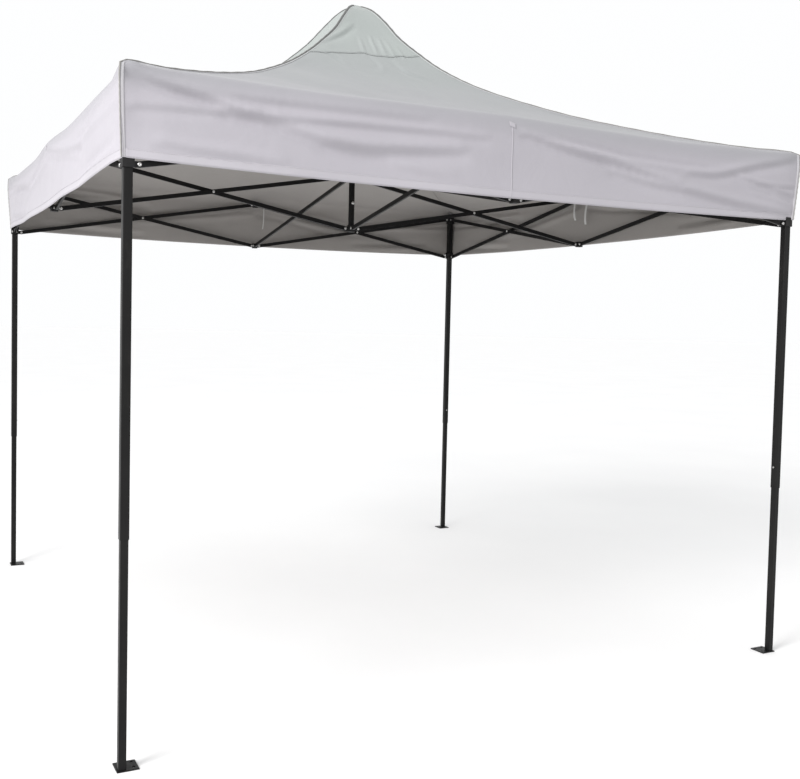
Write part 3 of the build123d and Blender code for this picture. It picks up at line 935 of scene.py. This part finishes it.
hub_up, hub_low = [], []
z_mid = (Z_TOP + Z_LOW) / 2
for k, s in enumerate(SIDES):
    rivets(f"rivets_{s}_inner_bar", f"{s}_inner_bar_down", bar_heads(k, -90, (HUB_OFF + HALF - MID_RAD) / 2, z_mid, (0, 0)))
    xa = (-HALF + LEG_OFF - MID_OFF) / 2
    rivets(f"rivets_{s}_truss_a", f"{s}_truss_a_down", bar_heads(k, 0, xa, z_mid, (0, -HALF)))
    rivets(f"rivets_{s}_truss_b", f"{s}_truss_b_up", bar_heads(k, 0, -xa, z_mid, (0, -HALF)))
    base = (0, -HALF)
    tops, lows = [], []
    for x, side, turn in ((MID_OFF, -1, 0), (MID_OFF, +1, 180), (MID_RAD, +1, 90)):
        tops += fork_heads(k, turn, x, side, Z_TOP, base)
    for x, side, turn in ((MID_OFF, +1, 0), (MID_OFF, -1, 180), (MID_RAD, -1, 90)):
        lows += fork_heads(k, turn, x, side, Z_LOW, base)
    rivets(f"rivets_{s}_mid_top", f"{s}_mid_top", tops)
    rivets(f"rivets_{s}_mid_low", f"{s}_mid_low", lows)
    hub_up += fork_heads(k, -90, HUB_OFF, +1, Z_TOP, (0, 0))
    hub_low += fork_heads(k, -90, HUB_OFF, -1, Z_LOW, (0, 0))
    c = CORNERS[k]
    leg = (-HALF, -HALF)
    rivets(f"rivets_leg_{c}", f"leg_{c}", fork_heads(k, 0, LEG_OFF, +1, Z_TOP, leg) + fork_heads(k, 90, LEG_OFF, -1, Z_TOP, leg))
    rivets(f"rivets_slider_{c}", f"slider_{c}", fork_heads(k, 0, LEG_OFF, -1, Z_LOW, leg) + fork_heads(k, 90, LEG_OFF, +1, Z_LOW, leg))
hub_up += [((0, -0.0180, z_mid), (0, -1, 0), NUT), ((0, 0.0180, z_mid), (0, 1, 0), NUT)]
rivets("rivets_upper_hub", "centre_mast", hub_up)
rivets("rivets_lower_hub", "lower_hub", hub_low)


# ---------------------------------------------------------------- floor and light
def stage():
    n = Nodes("pale_floor")
    at = coords(n)
    c = n.mix(n.remap(n.noise(at, 0.8, 4.0), 0.3, 0.7, 0.0, 1.0), (0.855, 0.855, 0.855, 1), (0.875, 0.875, 0.873, 1))
    n.set(Base_Color=c, Roughness=0.85, Specular_IOR_Level=0.1)
    me = bpy.data.meshes.new("floor")
    R, N = 140.0, 96
    vs = [(0, 0, -0.0006)] + [(R * math.cos(2 * math.pi * i / N), R * math.sin(2 * math.pi * i / N), -0.0006) for i in range(N)]
    me.from_pydata(vs, [], [(0, 1 + i, 1 + (i + 1) % N) for i in range(N)])
    me.materials.append(n.mat)
    floor = bpy.data.objects.new("floor", me)
    scene.collection.objects.link(floor)

    world = bpy.data.worlds.new("studio")
    scene.world = world
    world.use_nodes = True
    bg = world.node_tree.nodes["Background"]
    bg.inputs[0].default_value = (0.99, 0.995, 1.0, 1)
    bg.inputs[1].default_value = 1.0

    d = bpy.data.lights.new("soft_key", "SUN")
    d.energy = 1.1
    d.angle = math.radians(24)
    d.color = (1.0, 0.985, 0.985)
    ob = bpy.data.objects.new("soft_key", d)
    scene.collection.objects.link(ob)
    ob.rotation_euler = Vector((0.86, 0.34, -0.46)).to_track_quat("-Z", "Y").to_euler()


def near_key():
    """A large soft panel to the left of the front, near enough for the light to fall off across the top."""
    d = bpy.data.lights.new("near_key", "AREA")
    d.shape = "DISK"
    d.size = 3.0
    d.energy = 390.0
    d.color = (1.0, 0.985, 0.985)
    ob = bpy.data.objects.new("near_key", d)
    scene.collection.objects.link(ob)
    ob.location = (-6.2, -3.8, 4.5)
    ob.rotation_euler = (Vector((0, -0.5, 2.0)) - Vector(ob.location)).to_track_quat("-Z", "Y").to_euler()
    ob.visible_camera = False


stage()
near_key()
